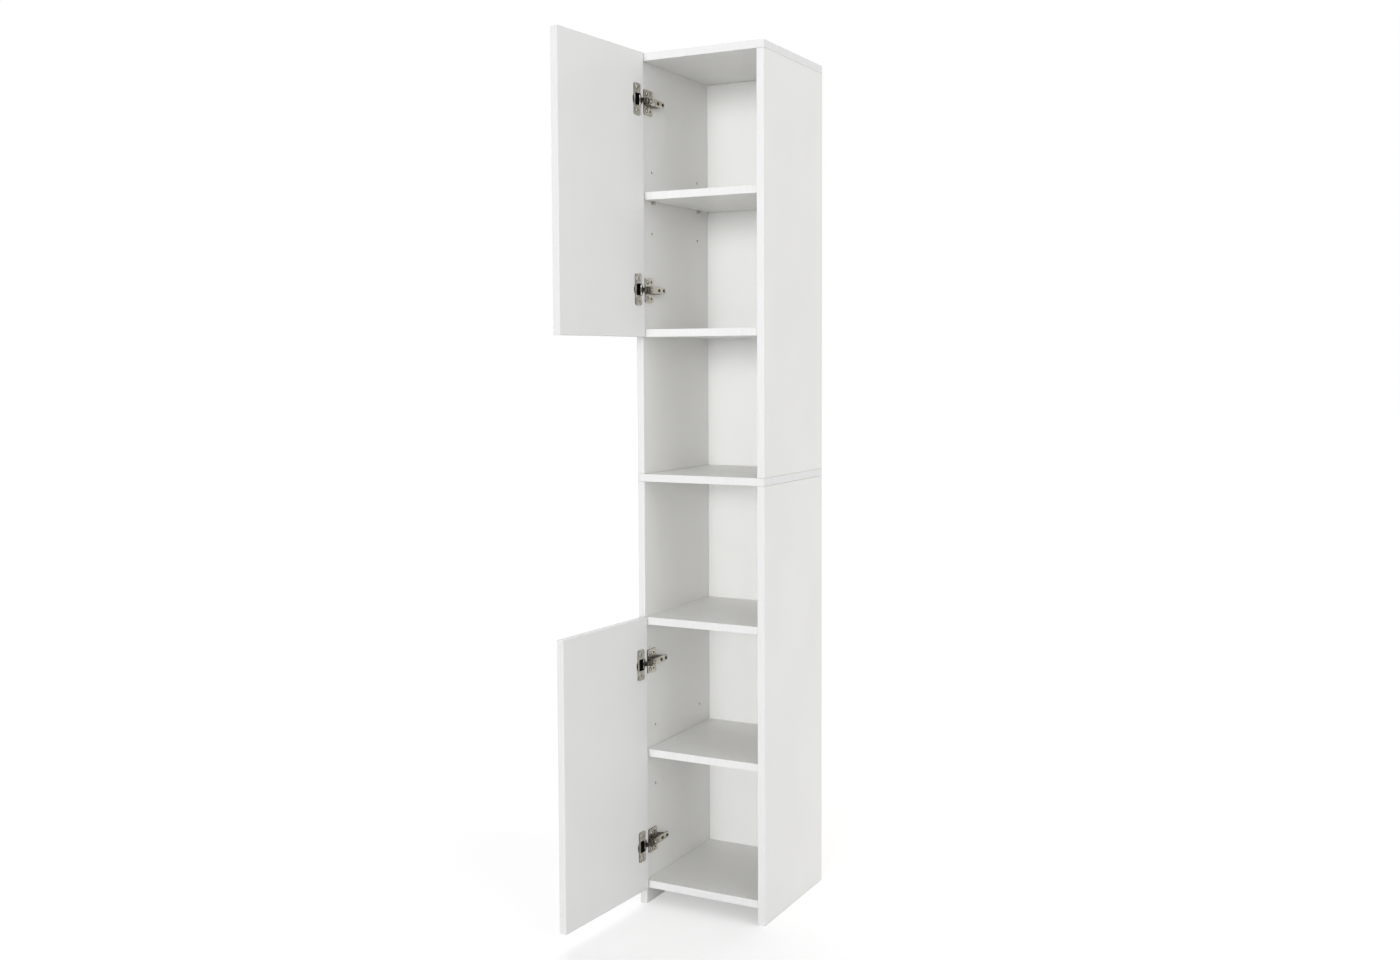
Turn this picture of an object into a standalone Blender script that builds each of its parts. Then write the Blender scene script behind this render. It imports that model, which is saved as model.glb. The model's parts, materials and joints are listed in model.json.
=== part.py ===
"""Tall slim bathroom cabinet with two doors, two open middle compartments and six shelf spaces.

Metres, +Z up, front facing -Y.  Carcass coordinates start at the front left bottom corner of the
carcass: x to the right, y to the back, z up.  The carcass empty then puts the middle of the whole
footprint, with both doors open, on the world origin.  The doors are modelled closed and turned
open by the empties on their hinge axes.
"""
import math

import bmesh
import bpy
from mathutils import Matrix, Vector

# ---- driving dimensions --------------------------------------------------------------------------
WIDTH = 0.295            # outside width of the carcass
DEPTH = 0.300            # outside depth of the carcass
BOARD = 0.016            # melamine board
GAP = 0.0003             # between pieces that touch

FLOOR_SPACE = 0.036      # floor to the underside of the bottom panel
DOOR_ZONE = 0.586        # height of each door, with the boards that it covers
OPEN_SPACE = 0.288       # clear height of each open middle compartment
SHELF_SETBACK = 0.003    # adjustable shelf behind the front edges
SHELF_PLAY = 0.0008      # each side of an adjustable shelf

BACK = 0.003             # hardboard back
BACK_INSET = 0.001       # back behind the rear edges
REBATE = 0.006           # depth of the side panels' rebate, into the board

DOOR_REVEAL = 0.001      # door edge inside the carcass edge
DOOR_GAP = 0.002         # closed door in front of the carcass
REST_OPEN = math.radians(94)     # how far the doors stand open
LINK_RATIO = -0.45       # link turn for each unit of door turn

HINGE_INSET = 0.098      # hinge middle from the door's end
LINK_AXIS_X = 0.01046    # link pivot from the side panel's inner face
LINK_AXIS_Y = 0.00232    # link pivot behind the front edges
PIN_R = 0.0013           # pins in the arm and in the cup
PIN_PLAY = 0.0003        # around a pin
EYE_R = 0.0024           # link end around a pin
LINK_HALF = 0.0011       # half the link's thickness
LINK_WIDTH = 0.0085
NECK_SIDE = 0.0065       # bend of the link, past the cup's pin
NECK_PLAY = 0.0012       # bend of the link, above the cup's floor

CUP_R = 0.0175
CUP_EDGE = 0.005         # cup from the door's hinge edge
CUP_DEPTH = 0.0115
CUP_WALL = 0.0009
CUP_PIN_INSET = 0.0035   # cup pin from the cup's inner wall
CUP_PIN_DEPTH = 0.0025   # cup pin below the door's inner face
FLANGE_THICK = 0.0011
FLANGE_HIGH = 0.065
FLANGE_WIDE = 0.024
FLANGE_SHIFT = 0.002     # flange middle past the cup's middle, away from the hinge edge
FLANGE_CORNER = 0.0045
FLANGE_SCREW = 0.024     # screw place from the cup's middle

ARM_FRONT = 0.0005       # front end of the arm behind the front edges
ARM_BACK = 0.071         # rear end of the arm behind the front edges
ARM_WIDTH = 0.0158
ARM_SHEET = 0.0014
ARM_ROOM = 0.0006        # between the link's eye and the arm's outer sheet
TAIL_THICK = 0.003       # solid rear end of the arm
PLATE_THICK = 0.0022
PLATE_BACK = 0.052       # rear end of the plate behind the front edges
PLATE_HALF = 0.008       # half the height of the plate's rear end
WING_LINE = 0.0235       # middle of the wings behind the front edges
WING_HALF = 0.0255       # half the wings' height
WING_REACH = 0.018       # wings before and behind their middle
WING_CORNER = 0.004
PLATE_SCREW = 0.017      # screws above and below the plate's middle
PLATE_SCREW_STEP = 0.0075  # screws before and behind the wings' middle
RAIL_FRONT = 0.018       # front end of the rail behind the front edges
RAIL_BACK = 0.049        # rear end of the rail behind the front edges
RAIL_ROOM = 0.003        # arm's channel past each end of the rail
RAIL_WIDTH = 0.0086
SCREW_R = 0.0019
CLEAR = 0.010            # how far an open-ended cutter runs past what it cuts

PEG_R = 0.0025           # shelf support's shank
PEG_HEAD_R = 0.0034      # shelf support's head
PEG_IN = 0.0085          # shank length in the board
PEG_OUT = 0.0085         # head length under the shelf
HOLE_DEPTH = 0.010
HOLE_FRONT = 0.040       # support line behind the front edges
HOLE_REAR = 0.055        # support line before the rear edges
HOLE_STEP = 0.064

DOWEL_R = 0.004
DOWEL_PLAY = 0.0002      # around a dowel
DOWEL_END = 0.001        # room past a dowel's end
DOWEL_IN_SIDE = 0.011    # dowel length in a board's face
DOWEL_IN_EDGE = 0.025    # dowel length in a board's end
DOWEL_INSET = 0.045      # dowel lines from the front and rear edges

ROUND = 24               # segments of round pieces
SMALL_ROUND = 16
CORNER_STEPS = 4         # segments of a rounded corner
WELD = 0.00001           # points nearer than this become one
SMOOTH_BELOW = math.radians(35)  # faces that meet at less than this shade as one surface

# ---- levels and places that follow ---------------------------------------------------------------
bottom_z = FLOOR_SPACE
lower_shelf_z = FLOOR_SPACE + DOOR_ZONE - BOARD
mid_z = lower_shelf_z + BOARD + OPEN_SPACE
upper_shelf_z = mid_z + BOARD + OPEN_SPACE
top_z = upper_shelf_z + DOOR_ZONE - BOARD
height = top_z + BOARD

inner_left = BOARD
inner_right = WIDTH - BOARD
back_face = DEPTH - BACK_INSET - BACK
door_width = WIDTH - 2 * DOOR_REVEAL

arm_face = inner_left + LINK_AXIS_X + EYE_R + ARM_ROOM + ARM_SHEET
arm_inside = arm_face - ARM_SHEET
link_axis = Vector((inner_left + LINK_AXIS_X, LINK_AXIS_Y, 0))
door_edge = Vector((DOOR_REVEAL, -DOOR_GAP, 0))
cup_centre = CUP_EDGE + CUP_R
cup_axis = door_edge + Vector((CUP_EDGE + CUP_WALL + CUP_PIN_INSET, -CUP_PIN_DEPTH, 0))
neck = Vector((cup_axis.x + NECK_SIDE, door_edge.y - CUP_DEPTH + CUP_WALL + NECK_PLAY + LINK_HALF, 0))
link_turn = -LINK_RATIO * REST_OPEN
door_turn = -REST_OPEN


def open_place(point):
    """Where a point of the closed door lies when the door stands open."""
    link = Matrix.Rotation(link_turn, 3, "Z")
    door = Matrix.Rotation(door_turn, 3, "Z")
    return link_axis + link @ (cup_axis - link_axis) + door @ (point - cup_axis)


door_corners = [open_place(door_edge + Vector((x, y, 0))) for x in (0, door_width) for y in (0, -BOARD)]
foot_left = min([0.0] + [corner.x for corner in door_corners])
foot_front = min([0.0] + [corner.y for corner in door_corners])
foot_right = max([WIDTH] + [corner.x for corner in door_corners])
centre = Vector(((foot_left + foot_right) / 2, (foot_front + DEPTH) / 2, 0))

# ---- scene, collections, materials ---------------------------------------------------------------
for old in list(bpy.data.objects):
    bpy.data.objects.remove(old, do_unlink=True)

parts = bpy.data.collections.new("tall_bathroom_cabinet")
cutters = bpy.data.collections.new("cutters")
for collection in (parts, cutters):
    bpy.context.scene.collection.children.link(collection)


def material(name, colour, roughness, metallic=0.0):
    made = bpy.data.materials.new(name)
    made.use_nodes = True
    shader = made.node_tree.nodes["Principled BSDF"]
    shader.inputs["Base Color"].default_value = (*colour, 1)
    shader.inputs["Roughness"].default_value = roughness
    shader.inputs["Metallic"].default_value = metallic
    return made


WHITE = (0.84, 0.84, 0.83)
BOARD_ROUGHNESS = 0.42
NICKEL = (0.55, 0.54, 0.52)
DARK_STEEL = (0.20, 0.20, 0.20)
BEECH = (0.62, 0.44, 0.26)


# ---- shape helpers -------------------------------------------------------------------------------
def empty(name, location, parent=None, turn=0.0):
    made = bpy.data.objects.new(name, None)
    parts.objects.link(made)
    made.parent = parent
    made.location = location
    made.rotation_euler = (0, 0, turn)
    return made


def add(name, mesh, parent, location=(0, 0, 0), home=parts):
    made = bpy.data.objects.new(name, mesh)
    home.objects.link(made)
    made.parent = parent
    made.location = location
    return made


def finish(piece, colour, roughness, metallic=0.0):
    piece.data.materials.append(material(piece.name + "_finish", colour, roughness, metallic))
    return piece


def box_mesh(name, size):
    mesh = bpy.data.meshes.new(name)
    shape = bmesh.new()
    bmesh.ops.create_cube(shape, size=1.0)
    bmesh.ops.scale(shape, vec=size, verts=shape.verts)
    shape.to_mesh(mesh)
    shape.free()
    return mesh


def box(name, low, high, parent, home=parts):
    """A box between two corners, with its origin in its middle."""
    low = Vector(low)
    high = Vector(high)
    return add(name, box_mesh(name, high - low), parent, (low + high) / 2, home)


def rod_mesh(name, radius, length, axis, segments):
    mesh = bpy.data.meshes.new(name)
    shape = bmesh.new()
    bmesh.ops.create_cone(shape, cap_ends=True, segments=segments, depth=length,
                          radius1=radius, radius2=radius)
    turns = {"X": Matrix.Rotation(math.pi / 2, 3, "Y"), "Y": Matrix.Rotation(math.pi / 2, 3, "X"),
             "Z": Matrix.Identity(3)}
    bmesh.ops.rotate(shape, cent=(0, 0, 0), matrix=turns[axis], verts=shape.verts)
    shape.to_mesh(mesh)
    shape.free()
    mesh.shade_smooth()
    mesh.set_sharp_from_angle(angle=SMOOTH_BELOW)
    return mesh


def rod(name, centre_place, radius, length, axis, parent, home=parts, segments=SMALL_ROUND):
    return add(name, rod_mesh(name, radius, length, axis, segments), parent, centre_place, home)


def hide_cutter(cutter):
    cutter.hide_render = True
    cutter.display_type = "WIRE"
    return cutter


def combine(piece, other, operation, name):
    step = piece.modifiers.new(name, "BOOLEAN")
    step.operation = operation
    step.solver = "EXACT"
    step.object = hide_cutter(other)


def cut(piece, other, name="cut"):
    combine(piece, other, "DIFFERENCE", name)


def join(piece, other, name="join"):
    combine(piece, other, "UNION", name)


def round_box(name, low, high, corner, axis, parent, home=parts):
    """A box between two corners, with the four edges along one axis rounded."""
    piece = box(name, low, high, parent, home)
    shape = bmesh.new()
    shape.from_mesh(piece.data)
    along = "XYZ".index(axis)
    edges = [edge for edge in shape.edges
             if abs(edge.verts[0].co[along] - edge.verts[1].co[along]) > GAP]
    bmesh.ops.bevel(shape, geom=edges, offset=corner, segments=CORNER_STEPS, profile=0.5, affect="EDGES")
    shape.to_mesh(piece.data)
    shape.free()
    return piece


def outline(name, points, thickness, parent, location, home=parts):
    """A flat outline in x and y, made thick along z."""
    curve = bpy.data.curves.new(name, "CURVE")
    curve.dimensions = "2D"
    curve.fill_mode = "BOTH"
    curve.extrude = thickness / 2
    spline = curve.splines.new("POLY")
    spline.points.add(len(points) - 1)
    for point, (x, y) in zip(spline.points, points):
        point.co = (x, y, 0, 1)
    spline.use_cyclic_u = True
    holder = bpy.data.objects.new(name + "_curve", curve)
    bpy.context.scene.collection.objects.link(holder)
    graph = bpy.context.evaluated_depsgraph_get()
    mesh = bpy.data.meshes.new_from_object(holder.evaluated_get(graph))
    shape = bmesh.new()
    shape.from_mesh(mesh)
    bmesh.ops.remove_doubles(shape, verts=shape.verts, dist=WELD)
    bmesh.ops.recalc_face_normals(shape, faces=shape.faces)
    shape.to_mesh(mesh)
    shape.free()
    bpy.data.objects.remove(holder, do_unlink=True)
    return add(name, mesh, parent, location, home)


def board(name, low, high):
    """A melamine board."""
    piece = box(name, low, high, carcass)
    return finish(piece, WHITE, BOARD_ROUGHNESS)


def bore(piece, place, radius, depth, axis, name, segments=SMALL_ROUND):
    """A blind or through hole, centred on a place, in a piece's own parent frame."""
    hole = rod(name + "_bore", place, radius, depth, axis, piece.parent, cutters, segments)
    cut(piece, hole, name)


# ---- carcass -------------------------------------------------------------------------------------
carcass = empty("carcass", -centre)


def side_panel(name, left, low, high):
    x0 = 0.0 if left else inner_right
    panel = board(name, (x0, 0, low), (x0 + BOARD, DEPTH, high))
    inner = inner_left if left else inner_right
    groove = box(name + "_rebate", (inner - REBATE, back_face - GAP, low - BOARD),
                 (inner + REBATE, DEPTH + BOARD, high + BOARD), carcass, cutters)
    cut(panel, groove, "rebate")
    return panel


sides = {
    "lower_left_side": side_panel("lower_left_side", True, 0, mid_z - GAP),
    "lower_right_side": side_panel("lower_right_side", False, 0, mid_z - GAP),
    "upper_left_side": side_panel("upper_left_side", True, mid_z + BOARD + GAP, top_z - GAP),
    "upper_right_side": side_panel("upper_right_side", False, mid_z + BOARD + GAP, top_z - GAP),
}
top_panel = board("top_panel", (0, 0, top_z), (WIDTH, DEPTH, height))
mid_panel = board("mid_panel", (0, 0, mid_z), (WIDTH, DEPTH, mid_z + BOARD))


def fixed_board(name, low_z):
    return board(name, (inner_left + GAP, 0, low_z),
                 (inner_right - GAP, back_face - GAP, low_z + BOARD))


bottom_panel = fixed_board("bottom_panel", bottom_z)
lower_fixed_shelf = fixed_board("lower_fixed_shelf", lower_shelf_z)
upper_fixed_shelf = fixed_board("upper_fixed_shelf", upper_shelf_z)


def loose_shelf(name, floor_z, ceiling_z):
    """An adjustable shelf halfway between two fixed boards."""
    low_z = (floor_z + ceiling_z - BOARD) / 2
    board(name, (inner_left + SHELF_PLAY, SHELF_SETBACK, low_z),
          (inner_right - SHELF_PLAY, back_face - SHELF_PLAY, low_z + BOARD))
    return low_z


lower_loose_z = loose_shelf("lower_adjustable_shelf", bottom_z + BOARD, lower_shelf_z)
upper_loose_z = loose_shelf("upper_adjustable_shelf", upper_shelf_z + BOARD, top_z)


def back_panel(name, low_z, high_z):
    panel = box(name, (inner_left - REBATE + GAP, back_face, low_z),
                (inner_right + REBATE - GAP, back_face + BACK, high_z), carcass)
    finish(panel, WHITE, BOARD_ROUGHNESS)


back_panel("lower_back_panel", bottom_z, mid_z - GAP)
back_panel("upper_back_panel", mid_z + BOARD + GAP, top_z - GAP)


# ---- dowels that hold the boards together --------------------------------------------------------
def dowel(name, middle, axis, length, pieces):
    """A dowel and the holes for it in each board that it enters."""
    for piece in pieces:
        bore(piece, middle, DOWEL_R + DOWEL_PLAY, length + 2 * DOWEL_END, axis, name)
    pin = rod(name, middle, DOWEL_R, length, axis, carcass)
    finish(pin, BEECH, 0.6)


dowel_lines = (("front", DOWEL_INSET), ("rear", DEPTH - DOWEL_INSET))
dowel_length = DOWEL_IN_SIDE + DOWEL_IN_EDGE
cross_boards = ((bottom_panel, bottom_z, "lower"), (lower_fixed_shelf, lower_shelf_z, "lower"),
                (upper_fixed_shelf, upper_shelf_z, "upper"))
for side_name, face, inward in (("left", inner_left, 1), ("right", inner_right, -1)):
    side_middle = face - inward * BOARD / 2
    for line_name, line_y in dowel_lines:
        tag = side_name + "_" + line_name
        across = face + inward * (DOWEL_IN_EDGE - DOWEL_IN_SIDE) / 2
        for held, low_z, level in cross_boards:
            dowel(held.name + "_dowel_" + tag, (across, line_y, low_z + BOARD / 2), "X", dowel_length,
                  (held, sides[level + "_" + side_name + "_side"]))
        top_middle = top_z + (DOWEL_IN_SIDE - DOWEL_IN_EDGE) / 2
        dowel("top_dowel_" + tag, (side_middle, line_y, top_middle), "Z", dowel_length,
              (top_panel, sides["upper_" + side_name + "_side"]))
        dowel("mid_dowel_" + tag, (side_middle, line_y, mid_z + BOARD / 2), "Z", BOARD + 2 * DOWEL_IN_EDGE,
              (mid_panel, sides["lower_" + side_name + "_side"], sides["upper_" + side_name + "_side"]))


# ---- shelf supports and their rows of holes ------------------------------------------------------
def support(name, face, inward, y, z):
    """A turned peg: a shank in the board and a thicker head under the shelf."""
    rim = PEG_HEAD_R - PEG_R
    profile = [(0.0, -PEG_IN), (PEG_R, -PEG_IN), (PEG_R, GAP), (PEG_HEAD_R, GAP),
               (PEG_HEAD_R, PEG_OUT - rim), (PEG_R, PEG_OUT), (0.0, PEG_OUT)]
    mesh = bpy.data.meshes.new(name)
    shape = bmesh.new()
    corners = [shape.verts.new((radius, 0, along)) for radius, along in reversed(profile)]
    for first, second in zip(corners, corners[1:]):
        shape.edges.new((first, second))
    shape.to_mesh(mesh)
    shape.free()
    peg = add(name, mesh, carcass, (face, y, z))
    peg.rotation_euler = (0, inward * math.pi / 2, 0)
    turn = peg.modifiers.new("turn", "SCREW")
    turn.axis = "Z"
    turn.steps = SMALL_ROUND
    turn.render_steps = SMALL_ROUND
    turn.use_merge_vertices = True
    turn.merge_threshold = WELD
    finish(peg, NICKEL, 0.3, 1.0)


for level, shelf_z in (("lower", lower_loose_z), ("upper", upper_loose_z)):
    row_z = shelf_z - GAP - PEG_HEAD_R
    for side_name, face, inward in (("left", inner_left, 1), ("right", inner_right, -1)):
        side = sides[level + "_" + side_name + "_side"]
        for line_name, line_y in (("front", HOLE_FRONT), ("rear", DEPTH - HOLE_REAR)):
            tag = level + "_" + side_name + "_" + line_name
            support("shelf_support_" + tag, face, inward, line_y, row_z)
            for step in (-1, 0, 1):
                place = (face, line_y, row_z + step * HOLE_STEP)
                bore(side, place, PEG_R + PIN_PLAY / 2, 2 * HOLE_DEPTH, "X",
                     "support_hole_" + tag + str(step + 1))


# ---- hinge pieces --------------------------------------------------------------------------------
def mounting_plate(name, z):
    """Winged plate on the side panel, with the rail that the arm clips over."""
    low = inner_left + GAP
    high = low + PLATE_THICK
    plate = box(name, (low, WING_LINE, z - PLATE_HALF), (high, PLATE_BACK, z + PLATE_HALF), carcass)
    wing = round_box(name + "_wing", (low, WING_LINE - WING_REACH, z - WING_HALF),
                     (high, WING_LINE + WING_REACH, z + WING_HALF), WING_CORNER, "X", carcass, cutters)
    rail = box(name + "_rail", ((low + high) / 2, RAIL_FRONT, z - RAIL_WIDTH / 2),
               (arm_inside - GAP, RAIL_BACK, z + RAIL_WIDTH / 2), carcass, cutters)
    join(plate, wing, "wing")
    join(plate, rail, "rail")
    for tag, side in (("low", -1), ("high", 1)):
        for end, step in (("front", -PLATE_SCREW_STEP), ("rear", PLATE_SCREW_STEP)):
            bore(plate, (low, WING_LINE + step, z + side * PLATE_SCREW), SCREW_R, 4 * PLATE_THICK, "X",
                 name + "_" + tag + "_" + end)
    finish(plate, NICKEL, 0.32, 1.0)


def hinge_arm(name, z):
    """Channel that clips over the plate's rail and carries the link's pin between its front cheeks."""
    low = inner_left + GAP + PLATE_THICK + GAP
    front = RAIL_FRONT - RAIL_ROOM
    back = RAIL_BACK + RAIL_ROOM
    arm = box(name, (low, ARM_FRONT, z - ARM_WIDTH / 2), (arm_face, ARM_BACK, z + ARM_WIDTH / 2), carcass)
    inside = ARM_WIDTH / 2 - ARM_SHEET
    channel = box(name + "_channel", (low - CLEAR, front, z - inside), (arm_inside, back, z + inside),
                  carcass, cutters)
    throat_half = LINK_WIDTH / 2 + GAP
    throat = box(name + "_throat", (low - CLEAR, ARM_FRONT - CLEAR, z - throat_half),
                 (arm_inside, front - GAP, z + throat_half), carcass, cutters)
    tail = box(name + "_tail", (low - CLEAR, back + RAIL_ROOM, z - ARM_WIDTH),
               (arm_face - TAIL_THICK, ARM_BACK + CLEAR, z + ARM_WIDTH), carcass, cutters)
    for cutter, tag in ((channel, "channel"), (throat, "throat"), (tail, "tail")):
        cut(arm, cutter, tag)
    pin = rod(name + "_pin", link_axis + Vector((0, 0, z)), PIN_R, ARM_WIDTH - ARM_SHEET, "Z",
              carcass, cutters)
    join(arm, pin, "pin")
    finish(arm, NICKEL, 0.28, 1.0)


def hinge_link(name, z, parent):
    """Goosenecked link between the arm's pin and the cup's pin, drawn in its closed place."""
    start = Vector((0, 0))
    bend = Vector((neck - link_axis).xy)
    end = Vector((cup_axis - link_axis).xy)
    first = (bend - start).normalized()
    second = (end - bend).normalized()
    side_one = Vector((-first.y, first.x))
    side_two = Vector((-second.y, second.x))
    mitre = (side_one + side_two).normalized()
    reach = LINK_HALF / mitre.dot(side_one)
    points = [start + side_one * LINK_HALF, bend + mitre * reach, end + side_two * LINK_HALF,
              end - side_two * LINK_HALF, bend - mitre * reach, start - side_one * LINK_HALF]
    link = outline(name, [tuple(point) for point in points], LINK_WIDTH, parent, (0, 0, z))
    for tag, place in (("arm", start), ("cup", end)):
        eye = rod(name + "_" + tag + "_eye", (place.x, place.y, z), EYE_R, LINK_WIDTH, "Z",
                  parent, cutters)
        join(link, eye, tag + "_eye")
    for tag, place in (("arm", start), ("cup", end)):
        bore(link, (place.x, place.y, z), PIN_R + PIN_PLAY, 2 * LINK_WIDTH, "Z", name + "_" + tag)
    finish(link, DARK_STEEL, 0.35, 1.0)


def hinge_cup(name, z, parent):
    """Cup with a flange on the door's inner face, drawn with the door closed."""
    face = door_edge + Vector((cup_centre, 0, z)) - cup_axis
    middle = face + Vector((0, (GAP - CUP_DEPTH + FLANGE_THICK) / 2, 0))
    cup = rod(name, middle, CUP_R, CUP_DEPTH + GAP + FLANGE_THICK, "Y", parent, segments=ROUND)
    seat = face.y + GAP
    line = face.x + FLANGE_SHIFT
    flange = round_box(name + "_flange", (line - FLANGE_WIDE / 2, seat, face.z - FLANGE_HIGH / 2),
                       (line + FLANGE_WIDE / 2, seat + FLANGE_THICK, face.z + FLANGE_HIGH / 2),
                       FLANGE_CORNER, "Y", parent, cutters)
    join(cup, flange, "flange")
    hollow_low = face.y - CUP_DEPTH + CUP_WALL
    hollow_high = seat + CLEAR
    hollow = rod(name + "_hollow", (face.x, (hollow_low + hollow_high) / 2, face.z), CUP_R - CUP_WALL,
                 hollow_high - hollow_low, "Y", parent, cutters, ROUND)
    cut(cup, hollow, "hollow")
    pin = rod(name + "_pin", (0, 0, z), PIN_R, 2 * CUP_R, "Z", parent, cutters)
    trim = rod(name + "_pin_trim", face, CUP_R - CUP_WALL / 3, 2 * CUP_DEPTH, "Y", parent, cutters, ROUND)
    combine(pin, trim, "INTERSECT", "trim")
    join(cup, pin, "pin")
    for tag, side in (("low", -1), ("high", 1)):
        bore(cup, (line, face.y, face.z + side * FLANGE_SCREW), SCREW_R, 8 * FLANGE_THICK, "Y",
             name + "_" + tag)
    finish(cup, NICKEL, 0.25, 1.0)


def door(level, low_z):
    """One door with its two hinges; the hinge axes carry the link and then the door."""
    link_empty = empty(level + "_link_axis", link_axis, carcass, link_turn)
    door_empty = empty(level + "_door_axis", cup_axis - link_axis, link_empty, door_turn - link_turn)
    corner = door_edge - cup_axis
    panel = box(level + "_door", (corner.x, corner.y - BOARD, low_z),
                (corner.x + door_width, corner.y, low_z + DOOR_ZONE), door_empty)
    finish(panel, WHITE, BOARD_ROUGHNESS)
    for place, z in (("lower", low_z + HINGE_INSET), ("upper", low_z + DOOR_ZONE - HINGE_INSET)):
        tag = level + "_door_" + place + "_hinge_"
        bore(panel, (corner.x + cup_centre, corner.y, z), CUP_R + GAP, 2 * (CUP_DEPTH + GAP), "Y",
             tag + "pocket", ROUND)
        mounting_plate(tag + "plate", z)
        hinge_arm(tag + "arm", z)
        hinge_link(tag + "link", z, link_empty)
        hinge_cup(tag + "cup", z, door_empty)


door("lower", FLOOR_SPACE)
door("upper", upper_shelf_z)
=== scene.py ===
"""Tall slim bathroom cabinet: two open doors on concealed cup hinges and six shelf spaces.

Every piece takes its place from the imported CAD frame.  Lengths are in metres.  The pieces of a
door or of a hinge link are drawn level, as they lie with the door closed, and then turned.
"""
import json
import math

import bmesh
import bpy
from mathutils import Matrix, Vector

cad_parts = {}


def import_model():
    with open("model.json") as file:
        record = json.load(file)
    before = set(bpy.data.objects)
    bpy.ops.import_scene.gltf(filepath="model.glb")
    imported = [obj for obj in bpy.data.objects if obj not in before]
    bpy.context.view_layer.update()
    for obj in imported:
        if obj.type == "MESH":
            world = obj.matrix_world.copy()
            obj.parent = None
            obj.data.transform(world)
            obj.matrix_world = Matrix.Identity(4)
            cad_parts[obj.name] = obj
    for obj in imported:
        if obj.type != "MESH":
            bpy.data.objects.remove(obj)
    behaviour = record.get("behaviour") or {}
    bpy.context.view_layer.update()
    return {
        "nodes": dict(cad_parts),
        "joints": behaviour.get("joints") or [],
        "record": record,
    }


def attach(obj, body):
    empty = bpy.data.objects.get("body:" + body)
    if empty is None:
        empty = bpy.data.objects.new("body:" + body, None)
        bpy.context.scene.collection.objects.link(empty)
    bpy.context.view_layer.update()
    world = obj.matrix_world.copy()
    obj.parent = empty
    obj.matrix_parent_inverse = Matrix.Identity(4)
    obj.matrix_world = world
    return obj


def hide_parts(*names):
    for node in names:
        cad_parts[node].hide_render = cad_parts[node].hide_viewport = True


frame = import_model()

# ---- camera and light ------------------------------------------------------------------------------
CAMERA_PLACE = (1.3671, -2.5996, 1.1619)
CAMERA_YAW = -0.4819         # to the left of straight ahead
CAMERA_PITCH = -0.0620
CAMERA_ROLL = -0.0044
CAMERA_LENS = 36.60
CAMERA_SENSOR = 36.0
CAMERA_SHIFT = -0.0214
WORLD_LIGHT = 0.46
KEY_FROM = (0.10, -1.00, 0.07)
KEY_LIGHT = 1.70
KEY_SOFT = 25                # degrees across
FILL_FROM = (1.00, -0.25, 0.45)
FILL_LIGHT = 0.90
FILL_SOFT = 60
REAR_FROM = (-0.35, 0.60, 1.00)
REAR_LIGHT = 0.90
REAR_SOFT = 60
FLOOR_SIZE = 60.0
FLOOR_GREY = 0.80
FLOOR_ROUGH = 0.9
FLOOR_GLOSS = 0.1
FLOOR_LIFT = 0.36            # what a seen floor adds to its own light

# ---- boards ----------------------------------------------------------------------------------------
WELD = 0.00002               # points nearer than this become one
FLAT = math.radians(1)       # faces that meet at less than this are one face
SHARP = math.radians(30)     # edges sharper than this are rounded
SMOOTH_BELOW = math.radians(40)
BAND = 0.0008                # plastic band on a board's edge
SEAM = 0.00008               # between a board and its band
BAND_ROUND = 0.0005
BOARD_ROUND = 0.0002
FACING = 0.5                 # part of a normal from which a face looks along an axis
NAIL_STEP = 0.115            # about how far apart the nails of a long edge are
NAIL_INSET = 0.0032          # nail line inside the back panel's long edges
NAIL_START = 0.012           # first nail of a long edge, from the panel's end
NAIL_END_INSET = 0.008       # nail line inside the panel's ends
NAIL_END_SHARES = (0.25, 0.5, 0.75)
NAIL_R = 0.0019
NAIL_HIGH = 0.0005
NAIL_STEPS = 12

# ---- shelf supports --------------------------------------------------------------------------------
PEG_SHANK = 0.735            # shank's radius, as a share of the head's
PEG_CHAMFER = 0.0008
PEG_COLLAR = (0.0002, 0.0003, 0.0006)            # foot, face and top of the collar, from the middle
PEG_GROOVE = (0.0016, 0.0019, 0.0024, 0.0027)    # slope down, floor and slope up
PEG_WAIST = 0.9              # radius in the groove, as a share of the head's
PEG_NOSE = (0.0011, 0.0004)  # where the head starts to round off, back from its end

# ---- screws ----------------------------------------------------------------------------------------
CROSS_LONG = 0.62            # half a recess's length, as a share of the head's radius
CROSS_THICK = 0.13           # half its width
CROSS_DEEP = 0.9             # its depth, as a share of the head's height
PLATE_SPIN = {"low": -0.5, "high": 1.3}          # turns of the screws about their own axes
CUP_SPIN = {"low": -0.1, "high": 1.5}
SIDE_SPIN = 0.5
DEPTH_SPIN = 1.1

# ---- hinges ----------------------------------------------------------------------------------------
SHEET = 0.0014
ARM_SWELL = 0.0010           # how much wider the arm is behind its nose, on each side
ARM_ROWS = (                 # share of the length, in from the full half width, share of the depth, sunk
    (0.000, ARM_SWELL + 0.0012, 0.55, 0.0022), (0.008, ARM_SWELL + 0.0005, 0.80, 0.0010),
    (0.025, ARM_SWELL, 0.97, 0.0003), (0.080, ARM_SWELL, 1.00, 0.0), (0.190, ARM_SWELL, 1.00, 0.0),
    (0.260, 0.0000, 1.00, 0.0), (0.700, 0.0000, 1.00, 0.0), (0.745, 0.0003, 0.72, 0.0),
    (0.790, 0.0006, 0.36, 0.0), (0.830, 0.0010, 0.23, 0.0), (0.965, 0.0016, 0.22, 0.0),
    (1.000, 0.0035, 0.18, 0.0006))
ARM_ROUND = 0.0022
ARM_ROUND_MOST = 0.6         # largest corner, as a share of the half width or the depth
ARM_INSIDE_LEAST = 0.3       # smallest inside corner, as a share of the outside one
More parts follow.
